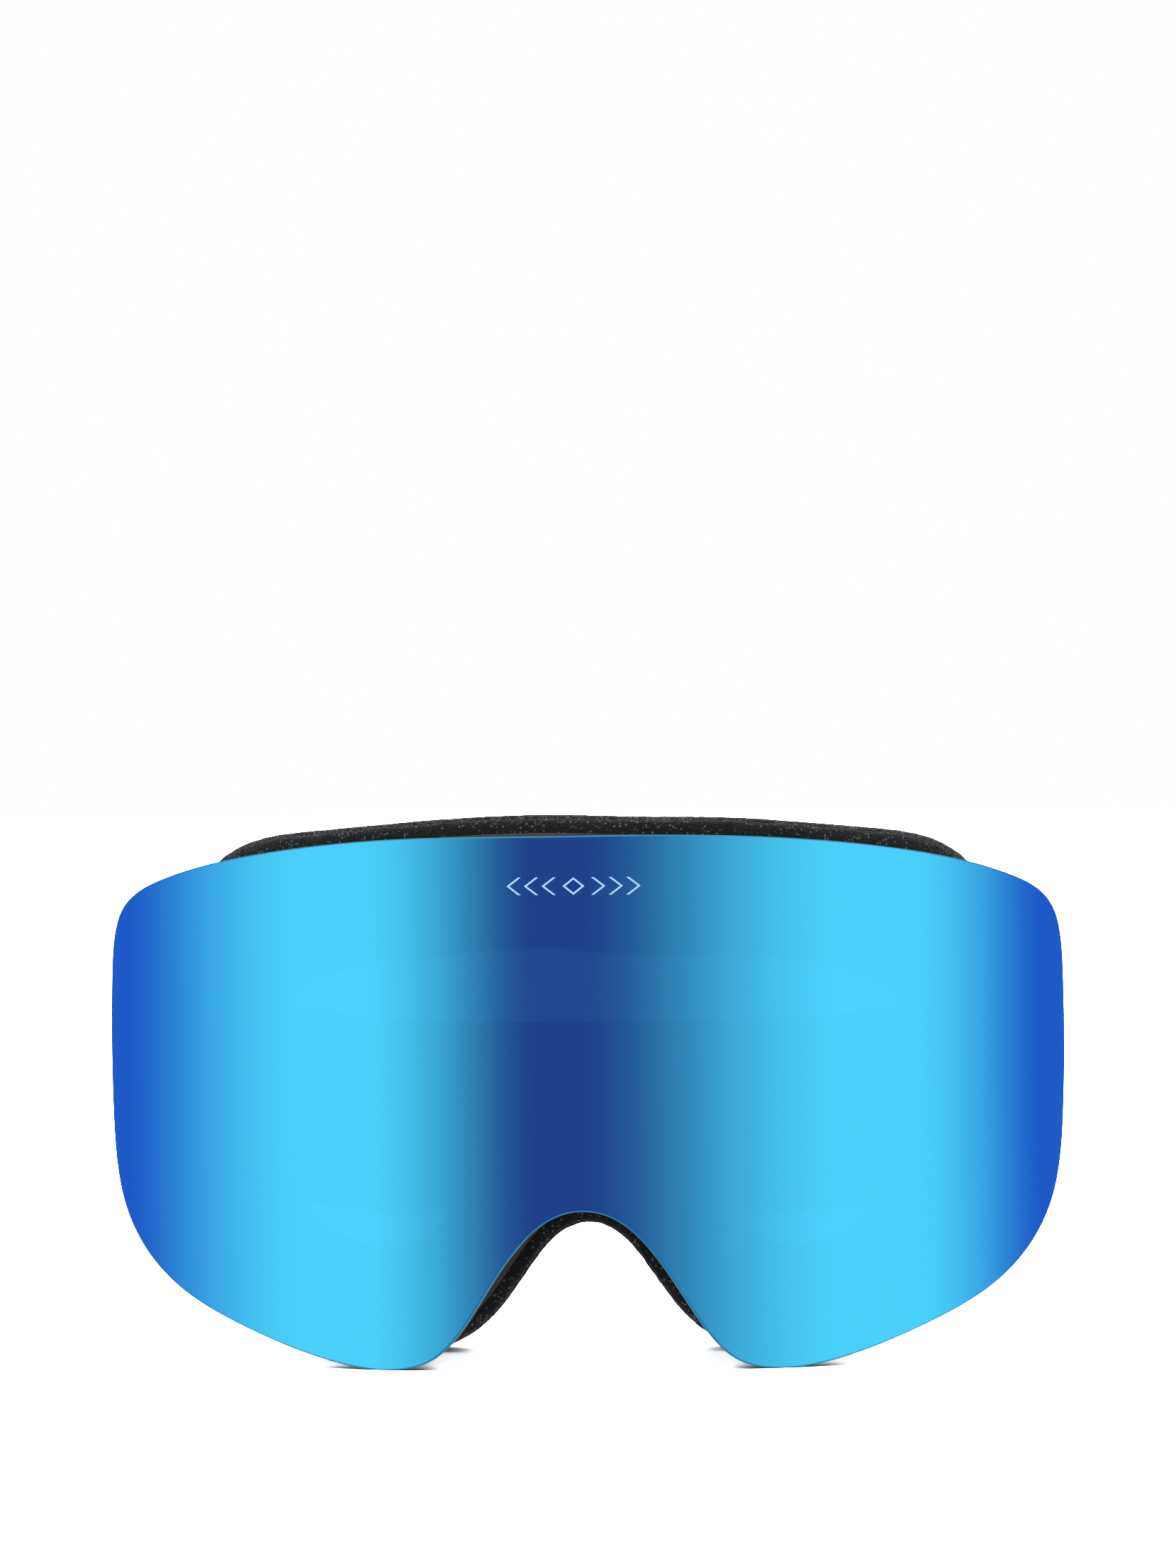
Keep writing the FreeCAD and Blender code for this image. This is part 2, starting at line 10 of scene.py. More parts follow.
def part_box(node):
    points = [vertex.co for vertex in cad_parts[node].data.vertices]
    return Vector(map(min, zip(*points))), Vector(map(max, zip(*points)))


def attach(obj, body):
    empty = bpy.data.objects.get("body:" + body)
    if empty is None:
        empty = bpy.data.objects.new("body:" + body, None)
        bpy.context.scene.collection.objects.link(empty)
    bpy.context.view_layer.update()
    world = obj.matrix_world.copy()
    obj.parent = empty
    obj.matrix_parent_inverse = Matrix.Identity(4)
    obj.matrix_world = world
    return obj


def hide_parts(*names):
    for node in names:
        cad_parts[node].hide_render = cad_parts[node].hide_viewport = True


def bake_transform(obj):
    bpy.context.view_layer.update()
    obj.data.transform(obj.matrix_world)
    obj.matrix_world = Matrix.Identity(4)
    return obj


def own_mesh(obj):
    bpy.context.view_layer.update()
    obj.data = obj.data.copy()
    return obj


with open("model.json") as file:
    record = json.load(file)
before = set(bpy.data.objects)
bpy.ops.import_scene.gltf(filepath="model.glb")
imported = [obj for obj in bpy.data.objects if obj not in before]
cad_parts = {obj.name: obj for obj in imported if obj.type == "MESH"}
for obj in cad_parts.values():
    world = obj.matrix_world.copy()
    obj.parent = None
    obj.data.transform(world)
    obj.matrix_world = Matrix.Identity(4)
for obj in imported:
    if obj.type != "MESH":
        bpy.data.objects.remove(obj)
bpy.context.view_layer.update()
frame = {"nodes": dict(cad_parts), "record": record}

# Ski goggles: the lens, foams, fleece and strap are built here round the CAD frame.
# Metres, in the CAD frame: X right as seen from in front, Y back to the wearer, Z up.

MM = 0.001
SCENE = bpy.context.scene
NODES = frame["nodes"]
RECORD = frame["record"]
BODIES = {node: body for body, nodes in RECORD["behaviour"]["bodies"].items() for node in nodes}
SIDES = {"right": 1, "left": -1}

LENS_RADIUS = 112 * MM
LENS_THICK = 1.4 * MM
FACE_RADIUS = 100 * MM
STRAP_THICK = 1.6 * MM
WRAP_RADIUS = 1.6 * MM                 # inside of the webbing where it turns round the strap bar
FRONT_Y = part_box("outer_lens")[0].y
AXIS_Y = FRONT_Y + LENS_RADIUS
FACE_AXIS_Y = FRONT_Y + FACE_RADIUS


# ---- materials ----
MIRROR_TINT = (0.065, 0.62, 0.95)
WAVE_UNIT = 3.1831                      # a wave texture at scale 1 has ten over pi ridges to the metre
STRIPE_AT = 13.0 * MM                   # distance of the woven stripes from the strap's middle
STRIPE_HALF = 1.3 * MM


class Surface:
    """A material with one Principled shader fed by procedural patterns."""

    def __init__(self, name, **values):
        self.material = bpy.data.materials.new(name)
        self.material.use_nodes = True
        self.tree = self.material.node_tree
        self.shader = self.tree.nodes["Principled BSDF"]
        self.place = self.node("TexCoord").outputs["Object"]
        for socket, value in values.items():
            self.shader.inputs[socket.replace("_", " ")].default_value = value

    def node(self, kind, inputs=(), **settings):
        made = self.tree.nodes.new("ShaderNode" + kind)
        for key, value in settings.items():
            setattr(made, key, value)
        for key, value in dict(inputs).items():
            self.feed(made.inputs[key], value)
        return made

    def feed(self, socket, value):
        if isinstance(value, bpy.types.NodeSocket):
            self.tree.links.new(value, socket)
        else:
            socket.default_value = value

    def uv(self):
        self.place = self.node("TexCoord").outputs["UV"]

    def stretched(self, x, y, z):
        """The place, scaled by different amounts along each axis."""
        return self.node("Mapping", {"Vector": self.place, "Scale": (x, y, z)}).outputs["Vector"]

    def noise(self, size, detail=3.0, place=None):
        """Soft noise with features of a size in metres, from 0 to 1."""
        inputs = {"Vector": place or self.place, "Scale": 1 / size, "Detail": detail}
        return self.node("TexNoise", inputs).outputs["Fac"]

    def cells(self, size, output="Distance"):
        """A cell pattern with cells of a size in metres."""
        inputs = {"Vector": self.place, "Scale": 1 / size}
        return self.node("TexVoronoi", inputs, feature="F1").outputs[output]

    def wave(self, size, direction, distortion=0.0):
        """Regular ridges of a pitch in metres."""
        inputs = {"Vector": self.place, "Scale": 1 / size / WAVE_UNIT, "Distortion": distortion,
                  "Detail": 1.0}
        made = self.node("TexWave", inputs, bands_direction=direction, wave_profile="SIN")
        return made.outputs["Fac"]

    def math(self, operation, a, b=0.0):
        return self.node("Math", {0: a, 1: b}, operation=operation).outputs[0]

    def levels(self, value, low, high, to_low=0.0, to_high=1.0):
        """A value mapped from one range to another, and clamped."""
        inputs = {"Value": value, "From Min": low, "From Max": high, "To Min": to_low, "To Max": to_high}
        return self.node("MapRange", inputs).outputs["Result"]

    def mix(self, share, a, b):
        """A colour between two colours."""
        made = self.node("Mix", data_type="RGBA")
        self.feed(made.inputs[0], share)
        for socket, value in ((made.inputs[6], a), (made.inputs[7], b)):
            self.feed(socket, (*value, 1.0) if isinstance(value, tuple) else value)
        return made.outputs[2]

    def paint(self, socket, value):
        self.feed(self.shader.inputs[socket], value)

    def bump(self, *layers):
        """Surface relief from (height, depth in metres) layers."""
        normal = None
        for height, depth in layers:
            inputs = {"Height": height, "Distance": depth, "Strength": 1.0}
            if normal:
                inputs["Normal"] = normal
            normal = self.node("Bump", inputs).outputs["Normal"]
        self.paint("Normal", normal)


def mirror_lens():
    """The blue mirror coating on the lens front, very slightly see-through."""
    s = Surface("lens_mirror", Base_Color=(*MIRROR_TINT, 1), Metallic=1.0, Alpha=0.985)
    s.paint("Roughness", s.levels(s.noise(14 * MM, 5.0), 0.35, 0.7, 0.02, 0.05))
    return s.material


def lens_body():
    """Blue-tinted polycarbonate behind the coating."""
    s = Surface("lens_body", Base_Color=(0.02, 0.08, 0.16, 1), Roughness=0.08)
    haze = s.noise(9 * MM)
    clear = s.node("BsdfTransparent", {"Color": (0.09, 0.5, 0.82, 1)})
    blend = s.node("MixShader", {0: s.levels(haze, 0.3, 0.7, 0.04, 0.08), 1: clear.outputs[0],
                                 2: s.shader.outputs[0]})
    s.feed(s.tree.nodes["Material Output"].inputs["Surface"], blend.outputs[0])
    return s.material


def inner_sheet():
    """The clear inner lens, with a faint anti-fog bloom."""
    s = Surface("lens_inner", Base_Color=(0.32, 0.36, 0.4, 1), IOR=1.5)
    s.paint("Alpha", s.levels(s.noise(11 * MM, 4.0), 0.3, 0.75, 0.10, 0.16))
    s.paint("Roughness", s.levels(s.noise(6 * MM), 0.3, 0.7, 0.05, 0.14))
    return s.material


def mark_print_painted_glow():
    """Pale ink printed on the lens, with a painted glow: a faint emission that stands in for light on it.
    """
    s = Surface("mark_print_painted_glow", Roughness=0.35)
    s.paint("Base Color", s.mix(s.noise(0.6 * MM), (0.36, 0.62, 0.86), (0.46, 0.72, 0.94)))
    # Painted glow: the ink gives off a little light of its own.
    s.shader.inputs["Emission Color"].default_value = (0.36, 0.64, 0.9, 1)
    s.shader.inputs["Emission Strength"].default_value = 0.12
    return s.material


def moulded(name, dark, light, grain, relief, rough):
    """Moulded plastic or rubber with a fine spark-eroded grain."""
    s = Surface(name, Specular_IOR_Level=0.22)
    fine = s.noise(grain, 4.0)
    broad = s.noise(22 * MM, 3.0)
    s.paint("Base Color", s.mix(s.levels(broad, 0.3, 0.7), dark, light))
    s.paint("Roughness", s.levels(fine, 0.3, 0.7, *rough))
    s.bump((fine, relief))
    return s.material


def foam_skin(name, dark, light, painted_glint, cell, relief, painted_glint_share):
    """Open-cell foam: pits between ridges with painted shade in them, and painted glints on a few cells
    that would catch the light.
    """
    s = Surface(name, Roughness=0.95, Specular_IOR_Level=0.15, Sheen_Weight=0.1, Sheen_Roughness=0.6)
    pits = s.cells(cell)
    tint = s.noise(5 * MM, 4.0)
    # Painted shade: the pits are coloured darker than the ridges round them.
    body = s.mix(s.levels(pits, 0.1, 0.7), dark, light)
    body = s.mix(s.levels(tint, 0.3, 0.7, 0.0, 0.5), body, light)
    # Painted glints: a few cells are coloured light where they would catch the light.
    painted_glint_cell = cell * 1.3
    pick = s.node("SeparateColor", {"Color": s.cells(painted_glint_cell, "Color")}).outputs[0]
    lit = s.math("MULTIPLY", s.levels(pick, 1 - painted_glint_share, 1 - painted_glint_share * 0.5),
                 s.levels(s.cells(painted_glint_cell), 0.15, 0.5, 1.0, 0.0))
    s.paint("Base Color", s.mix(lit, body, painted_glint))
    s.bump((pits, relief), (tint, relief * 0.6))
    return s.material


def fleece_skin():
    """Brushed fleece with a soft nap."""
    s = Surface("fleece", Roughness=1.0, Sheen_Weight=0.6, Sheen_Roughness=0.5, Specular_IOR_Level=0.1)
    nap = s.noise(0.55 * MM, 6.0)
    tufts = s.noise(2.6 * MM, 4.0)
    s.paint("Base Color", s.mix(s.levels(nap, 0.35, 0.7), (0.008, 0.008, 0.01), (0.04, 0.041, 0.045)))
    s.bump((nap, 0.35 * MM), (tufts, 0.5 * MM))
    return s.material


def webbing(name, stripe=None):
    """Knitted elastic webbing. Its UV is in metres: U along the strap and V across it."""
    s = Surface(name, Roughness=0.85, Sheen_Weight=0.25, Sheen_Roughness=0.5)
    s.uv()
    ribs = s.wave(1.1 * MM, "Y")
    picks = s.wave(0.8 * MM, "X", 0.6)
    weave = s.math("MULTIPLY", ribs, picks)
    fuzz = s.noise(0.4 * MM, 5.0)
    shade = s.math("ADD", s.math("MULTIPLY", weave, 0.65), s.math("MULTIPLY", fuzz, 0.4))
    cloth = s.mix(s.levels(shade, 0.1, 0.85), (0.004, 0.004, 0.005), (0.042, 0.043, 0.047))
    if stripe:
        across = s.node("SeparateXYZ", {"Vector": s.place}).outputs["Y"]
        off = s.math("ABSOLUTE", s.math("SUBTRACT", s.math("ABSOLUTE", across), STRIPE_AT))
        inside = s.levels(off, STRIPE_HALF * 0.9, STRIPE_HALF, 1.0, 0.0)
        thread = s.mix(s.levels(shade, 0.1, 0.85), tuple(0.35 * c for c in stripe), stripe)
        cloth = s.mix(inside, cloth, thread)
    s.paint("Base Color", cloth)
    s.bump((weave, 0.28 * MM), (fuzz, 0.08 * MM))
    return s.material


def brushed_steel():
    s = Surface("pin_steel", Metallic=1.0)
    lines = s.noise(0.25 * MM, 3.0, s.stretched(1, 1, 0.05))
    s.paint("Base Color", s.mix(lines, (0.30, 0.30, 0.31), (0.62, 0.62, 0.64)))
    s.paint("Roughness", s.levels(lines, 0.2, 0.8, 0.22, 0.42))
    return s.material


def magnet_plate():
    s = Surface("magnet_plate", Metallic=1.0)
    haze = s.noise(1.2 * MM, 4.0)
    s.paint("Base Color", s.mix(haze, (0.42, 0.42, 0.43), (0.72, 0.72, 0.74)))
    s.paint("Roughness", s.levels(haze, 0.2, 0.8, 0.16, 0.36))
    return s.material


def silicone_skin():
    s = Surface("silicone", Subsurface_Weight=0.1, Subsurface_Scale=0.6 * MM)
    haze = s.noise(1.4 * MM, 4.0)
    s.paint("Base Color", s.mix(haze, (0.018, 0.12, 0.34), (0.04, 0.21, 0.52)))
    s.paint("Roughness", s.levels(haze, 0.3, 0.7, 0.32, 0.5))
    s.bump((s.noise(0.3 * MM), 0.05 * MM))
    return s.material


def gasket_skin():
    # The third colour is the gasket's painted glint.
    return foam_skin("gasket", (0.008, 0.008, 0.008), (0.03, 0.03, 0.031), (0.06, 0.06, 0.062),
                     0.7 * MM, 0.2 * MM, 0.1)


# ---- mesh tools ----
WELD = 1e-6                             # vertices closer than this are one
RELAX_STEPS = 3


def solid(node):
    """A CAD node's mesh as an editable copy, with its split vertices joined."""
    bm = bmesh.new()
    bm.from_mesh(NODES[node].data)
    bmesh.ops.remove_doubles(bm, verts=bm.verts, dist=WELD)
    return bm


def add_mesh(name, mesh, material, smooth=True):
    """A new object with one material."""
    obj = bpy.data.objects.new(name, mesh)
    SCENE.collection.objects.link(obj)
    mesh.materials.append(material)
    if smooth:
        mesh.shade_smooth()
    return obj


def settled(obj):
    """The object's mesh with its modifiers applied."""
    depsgraph = bpy.context.evaluated_depsgraph_get()
    mesh = bpy.data.meshes.new_from_object(obj.evaluated_get(depsgraph))
    obj.modifiers.clear()
    obj.data = mesh
    return obj


def coordinates(mesh):
    co = np.empty(len(mesh.vertices) * 3)
    mesh.vertices.foreach_get("co", co)
    return co.reshape(-1, 3)


def set_coordinates(mesh, co):
    mesh.vertices.foreach_set("co", np.ascontiguousarray(co).ravel())
    mesh.update()


def normals(mesh):
    out = np.empty(len(mesh.vertices) * 3)
    mesh.vertex_normals.foreach_get("vector", out)
    return out.reshape(-1, 3)


def remeshed(name, node, voxel, material):
    """A soft piece: the CAD solid with an even mesh and rounded edges."""
    bm = solid(node)
    mesh = bpy.data.meshes.new(name)
    bm.to_mesh(mesh)
    bm.free()
    obj = add_mesh(name, mesh, material)
    remesh = obj.modifiers.new("even", "REMESH")
    remesh.mode = "VOXEL"
    remesh.voxel_size = voxel
    relax = obj.modifiers.new("relax", "SMOOTH")
    relax.factor = 0.5
    relax.iterations = RELAX_STEPS
    settled(obj)
    obj.data.shade_smooth()
    return obj


def roughened(obj, layers, seed):
    """Pushes each vertex in or out by seeded noise: (feature size, depth) layers."""
    co = coordinates(obj.data)
    out = normals(obj.data)
    shift = np.zeros(len(co))
    offset = Vector((seed * 7.3, seed * 3.1, seed * 5.7))
    for size, depth in layers:
        shift += depth * np.array([noise.noise(Vector(p) / size + offset) for p in co])
    set_coordinates(obj.data, co + out * shift[:, None])
    return obj


def between(p, t):
    """A place a share t of the way from p[1] to p[2], on a smooth curve through four points."""
    return 0.5 * (2 * p[1] + (p[2] - p[0]) * t
                  + (2 * p[0] - 5 * p[1] + 4 * p[2] - p[3]) * t ** 2
                  + (3 * p[1] - p[0] - 3 * p[2] + p[3]) * t ** 3)


# ---- lens ----
# Rings of the lens's rim from front to back: inset and depth in mm, and the surface's tilt in degrees.
RIM = ((0.32, 0.0, 0), (0.2, 0.02, 22), (0.1, 0.07, 45), (0.03, 0.17, 68), (0.0, 0.3, 90),
       (0.0, 0.95, 90), (0.05, 1.16, 115), (0.2, 1.33, 140), (0.45, 1.4, 180))
COATED_BANDS = 5                        # bands of the rim, from the front, that have the mirror coating
OUTLINE_STEP = 1.2 * MM
ON_FRONT = 5e-6                         # how near the front cylinder an edge of the outline lies
FOLD = math.radians(30)                 # the least fold at the lens's front edge
GRID_REACH = 110                        # mm, half the width and height of the grid inside the outline
GRID_STEP = 3.0
GRID_CLEAR = 2.2 * MM
LENS_MIDDLE_Z = 51 * MM


def front_outline(step):
    """The lens outline from the CAD lens's front edge: evenly spaced (arc length, z) points."""
    bm = solid("outer_lens")
    beside = {}
    for edge in bm.edges:
        on_front = all(
            abs(math.hypot(v.co.x, v.co.y - AXIS_Y) - LENS_RADIUS) < ON_FRONT for v in edge.verts
        )
        if on_front and edge.calc_face_angle(0) > FOLD:
            a, b = edge.verts
            beside.setdefault(a, []).append(b)
            beside.setdefault(b, []).append(a)
    start = min(beside, key=lambda v: v.co.z)
    chain = [start, beside[start][0]]
    while chain[-1] != start:
        ahead = [v for v in beside[chain[-1]] if v != chain[-2]]
        chain.append(ahead[0])
    points = np.array([(LENS_RADIUS * math.asin(v.co.x / LENS_RADIUS), v.co.z) for v in chain[:-1]])
    bm.free()
    turning = np.sum(points[:, 0] * np.roll(points[:, 1], -1) - np.roll(points[:, 0], -1) * points[:, 1])
    if turning < 0:
        points = points[::-1]
    return evened(points, step)


def evened(points, step):
    """A closed outline resampled at an even spacing along a smooth curve through its points."""
    dense = []
    count = len(points)
    for i in range(count):
        p = [points[(i + k) % count] for k in (-1, 0, 1, 2)]
        for t in np.linspace(0, 1, 12, endpoint=False):
            dense.append(between(p, t))
    dense = np.array(dense + dense[:1])
    along = np.concatenate([[0], np.cumsum(np.linalg.norm(np.diff(dense, axis=0), axis=1))])
    places = np.linspace(0, along[-1], int(along[-1] / step), endpoint=False)
    return np.column_stack([np.interp(places, along, dense[:, k]) for k in (0, 1)])


def outwards(outline):
    """Unit normals of a closed anticlockwise outline."""
    along = np.roll(outline, -1, axis=0) - np.roll(outline, 1, axis=0)
    out = np.column_stack([along[:, 1], -along[:, 0]])
    return out / np.linalg.norm(out, axis=1)[:, None]


def inside(outline, points):
    """Which points lie inside a closed outline."""
    x, z = points[:, 0][:, None], points[:, 1][:, None]
    ax, az = outline[:, 0], outline[:, 1]
    bx, bz = np.roll(ax, -1), np.roll(az, -1)
    crosses = (az > z) != (bz > z)
    with np.errstate(divide="ignore", invalid="ignore"):
        at = ax + (z - az) * (bx - ax) / (bz - az)
    return (np.sum(crosses & (x < at), axis=1) % 2) == 1


def on_cylinder(s, z, radius):
    """Places and outward directions on a cylinder about the lens axis, from arc length and height."""
    angle = s / LENS_RADIUS
    out = np.column_stack([np.sin(angle), -np.cos(angle), np.zeros(len(s))])
    place = out * radius + np.column_stack([np.zeros(len(s)), np.full(len(s), AXIS_Y), z])
    return place, out


def build_outer_lens():
    outline = front_outline(OUTLINE_STEP)
    out = outwards(outline)
    first = outline - out * RIM[0][0] * MM
    guard = outline - out * GRID_CLEAR
    grid = np.arange(-GRID_REACH, GRID_REACH + 1, GRID_STEP) * MM
    mesh_points = np.array([(s, z) for s in grid for z in grid + LENS_MIDDLE_Z])
    mesh_points = mesh_points[inside(guard, mesh_points)]
    count = len(outline)
    flat = [Vector(p) for p in np.vstack([first, mesh_points])]
    edges = [(i, (i + 1) % count) for i in range(count)]
    _, _, faces, origin, _, _ = geometry.delaunay_2d_cdt(flat, edges, [], 1, 1e-7)
    index = [o[0] for o in origin]

    places, facing = [], []
    for inset, depth, tilt in RIM:
        ring = outline - out * inset * MM
        place, radial = on_cylinder(ring[:, 0], ring[:, 1], LENS_RADIUS - depth * MM)
        angle = ring[:, 0] / LENS_RADIUS
        side = np.column_stack([out[:, 0] * np.cos(angle), out[:, 0] * np.sin(angle), out[:, 1]])
        turn = math.radians(tilt)
        places.append(place)
        facing.append(radial * math.cos(turn) + side * math.sin(turn))
    for radius, sign in ((LENS_RADIUS, 1), (LENS_RADIUS - LENS_THICK, -1)):
        place, radial = on_cylinder(mesh_points[:, 0], mesh_points[:, 1], radius)
        places.append(place)
        facing.append(radial * sign)
    rings = len(RIM)
    inner = len(mesh_points)

    def front(i):
        i = index[i]
        return i if i < count else rings * count + i - count

    def back(i):
        i = index[i]
        return (rings - 1) * count + i if i < count else rings * count + inner + i - count

    polygons = [tuple(front(i) for i in face) for face in faces]
    front_count = len(polygons)
    for r in range(rings - 1):
        a, b = r * count, (r + 1) * count
        for i in range(count):
            j = (i + 1) % count
            polygons.append((a + i, b + i, b + j, a + j))
    coated = front_count + COATED_BANDS * count
    roles = [0] * coated + [2] * (len(polygons) - coated)
    roles += [2 if min(index[i] for i in face) < count else 1 for face in faces]
    polygons += [tuple(back(i) for i in reversed(face)) for face in faces]
    mesh = bpy.data.meshes.new("lens_shell")
    mesh.from_pydata(np.vstack(places).tolist(), [], polygons)
    obj = add_mesh("lens_shell", mesh, mirror_lens())
    mesh.materials.append(lens_body())
    mesh.materials.append(moulded("lens_border", (0.010, 0.011, 0.013), (0.020, 0.022, 0.025),
                                  0.4 * MM, 0.01 * MM, (0.2, 0.35)))
    mesh.polygons.foreach_set("material_index", roles)
    mesh.normals_split_custom_set_from_vertices(np.vstack(facing).tolist())
    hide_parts("outer_lens")
    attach(obj, "lens_module")


MARK_CENTRE = (-1.2 * MM, 88.3 * MM)
MARK_PRINT = 0.05 * MM                  # thickness of the ink
MARK_HEIGHT = 3.2 * MM
MARK_STROKE = 0.5 * MM
CHEVRON_TIPS = (-12.2, -9.0, -5.8)      # mm from the mark's middle
CHEVRON_LENGTH = 2.1
DIAMOND_HALF = 2.0 * MM


def build_mark():
    """A generic printed mark on the lens: a diamond between two rows of chevrons."""
    mesh = bpy.data.meshes.new("lens_mark")
    verts, polygons = [], []
    shapes = []
    half = MARK_HEIGHT / 2
    for tip in CHEVRON_TIPS:
        for side in (1, -1):
            tip_x, tail_x = side * tip * MM, side * (tip + CHEVRON_LENGTH) * MM
            for rise in (half, -half):
                shapes.append([(tip_x, 0), (tip_x + side * MARK_STROKE, 0),
                               (tail_x + side * MARK_STROKE, rise), (tail_x, rise)])
    for across in (1, -1):
        for rise in (half, -half):
            reach = DIAMOND_HALF * across
            shapes.append([(0, rise), (reach, 0), (reach - across * MARK_STROKE, 0),
                           (0, rise * (1 - MARK_STROKE / reach * across))])
    for corners in shapes:
        s = np.array([MARK_CENTRE[0] + p[0] for p in corners])
        z = np.array([MARK_CENTRE[1] + p[1] for p in corners])
        place, _ = on_cylinder(s, z, LENS_RADIUS + MARK_PRINT)
        polygons.append(tuple(range(len(verts), len(verts) + len(corners))))
        verts += place.tolist()
    mesh.from_pydata(verts, [], polygons)
    obj = add_mesh("lens_mark", mesh, mark_print_painted_glow(), smooth=False)
    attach(obj, "lens_module")


# ---- foam and fleece ----
def face_depth(co):
    """How far behind the lens front a place lies, measured along the face's plan curve."""
    return co[:, 1] - (FACE_AXIS_Y - np.sqrt(FACE_RADIUS ** 2 - co[:, 0] ** 2))


def build_foams():
    # The third colour of each foam is its painted glint.
    face_foam = foam_skin("face_foam", (0.003, 0.0033, 0.0036), (0.012, 0.0125, 0.013),
                          (0.26, 0.265, 0.27), 0.3 * MM, 0.2 * MM, 0.66)
    base_foam = foam_skin("base_foam", (0.004, 0.0045, 0.005), (0.012, 0.013, 0.014),
                          (0.16, 0.165, 0.17), 0.42 * MM, 0.22 * MM, 0.34)
    vent_foam = foam_skin("vent_foam", (0.004, 0.004, 0.004), (0.02, 0.02, 0.021),
                          (0.07, 0.07, 0.072), 1.4 * MM, 0.7 * MM, 0.2)
    face_relief = ((1.3 * MM, 0.12 * MM), (16 * MM, 0.05 * MM))
    vent_relief = ((1.5 * MM, 0.12 * MM),)
    made = [
        ("foam_mid", "foam_mid_layer", 1.0 * MM, face_foam, face_relief, 0.9),
        ("foam_base", "foam_base_layer", 1.0 * MM, base_foam, ((1.2 * MM, 0.1 * MM),), 0.9),
        ("vent_pad_top", "vent_foam_top", 0.9 * MM, vent_foam, vent_relief, 0.8),
        ("vent_pad_bottom", "vent_foam_bottom", 0.9 * MM, vent_foam, vent_relief, 0.8),
        ("lens_gasket", "lens_spacer", 0.8 * MM, gasket_skin(), ((1.2 * MM, 0.06 * MM),), 0.9),
    ]
    for seed, (name, node, voxel, material, layers, fill) in enumerate(made):
        obj = roughened(remeshed(name, node, voxel, material), layers, seed)
        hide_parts(node)
        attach(obj, BODIES[node])


FLEECE_SHRINK = 0.25 * MM
FLEECE_PIN = 1.0 * MM                   # the part bonded to the foam doesn't move
FLEECE_RISE = 1.1 * MM
FLEECE_SEED = 11
SWELL_FRAMES = 20


def puffed(obj, held, limit):
    """Lets a closed skin swell with cloth simulation. Held vertices stay, and none moves past a limit."""
    start = coordinates(obj.data)
    group = obj.vertex_groups.new(name="held")
    group.add([int(i) for i in np.nonzero(held)[0]], 1.0, "REPLACE")
    cloth = obj.modifiers.new("cloth", "CLOTH")
    settings = cloth.settings
    settings.quality = 6
    settings.mass = 0.2
    settings.tension_stiffness = 12
    settings.compression_stiffness = 12
    settings.shear_stiffness = 6
    settings.bending_stiffness = 0.4
    settings.use_pressure = True
    settings.uniform_pressure_force = 4
    settings.vertex_group_mass = "held"
    settings.effector_weights.gravity = 0
    cloth.point_cache.frame_end = SWELL_FRAMES
    for number in range(1, SWELL_FRAMES + 1):
        SCENE.frame_set(number)
    settled(obj)
    SCENE.frame_set(1)
    moved = coordinates(obj.data) - start
    length = np.linalg.norm(moved, axis=1)
    share = np.minimum(1.0, limit / np.maximum(length, 1e-9))
    set_coordinates(obj.data, start + moved * share[:, None])
    obj.vertex_groups.clear()


def build_fleece():
    obj = remeshed("face_fleece", "fleece_layer", 1.5 * MM, fleece_skin())
    co = coordinates(obj.data)
    set_coordinates(obj.data, co - normals(obj.data) * FLEECE_SHRINK)
    co = coordinates(obj.data)
    depth = face_depth(co)
    puffed(obj, depth < depth.min() + FLEECE_PIN, FLEECE_RISE)
    fine = obj.modifiers.new("fine", "SUBSURF")
    fine.levels = 1
    fine.render_levels = 1
    settled(obj)
    obj.data.shade_smooth()
    roughened(obj, ((1.8 * MM, 0.1 * MM), (14 * MM, 0.3 * MM)), FLEECE_SEED)
    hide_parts("fleece_layer")
    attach(obj, "frame")


# ---- strap ----
STRAP_LOW, STRAP_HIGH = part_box("strap_tail_right")[0].z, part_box("strap_tail_right")[1].z
STRAP_WIDTH = STRAP_HIGH - STRAP_LOW
STRAP_Z = (STRAP_LOW + STRAP_HIGH) / 2
BAR = next(Vector(m["pos_m"]) for m in RECORD["mounts"] if m["name"] == "strap_bar_right")
LAYER = WRAP_RADIUS + STRAP_THICK / 2   # from the bar's axis to the middle of the webbing
REAR_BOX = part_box("strap_rear")
REAR_BACK_Y = REAR_BOX[1].y - STRAP_THICK / 2
REAR_START_Y = REAR_BOX[0].y
REAR_DROP = REAR_BOX[1].z - STRAP_WIDTH - REAR_BOX[0].z
SIDE_STEP = 1.3 * MM
HALF_TURN_STEPS = 12
REAR_STEPS = 96
GRIP_STEPS = 60
RIB_HEIGHT = 0.07 * MM
RIB_PITCH = 2.0 * MM
GRIP_ROWS = (-10 * MM, 0.0, 10 * MM)
SHARP_FROM = math.radians(70)
GRIP_SINK = 0.1 * MM                    # from the webbing's face to the middle of a grip line
TAIL_THIN = 0.1 * MM


def rear_line(angle):
    """A point on the strap's middle line behind the side run, by angle round the half ellipse."""
    x = (BAR.x + LAYER) * math.cos(angle)
    y = REAR_START_Y + (REAR_BACK_Y - REAR_START_Y) * math.sin(angle)
    return Vector((x, y, STRAP_Z - REAR_DROP * (1 - math.cos(angle) ** 4)))


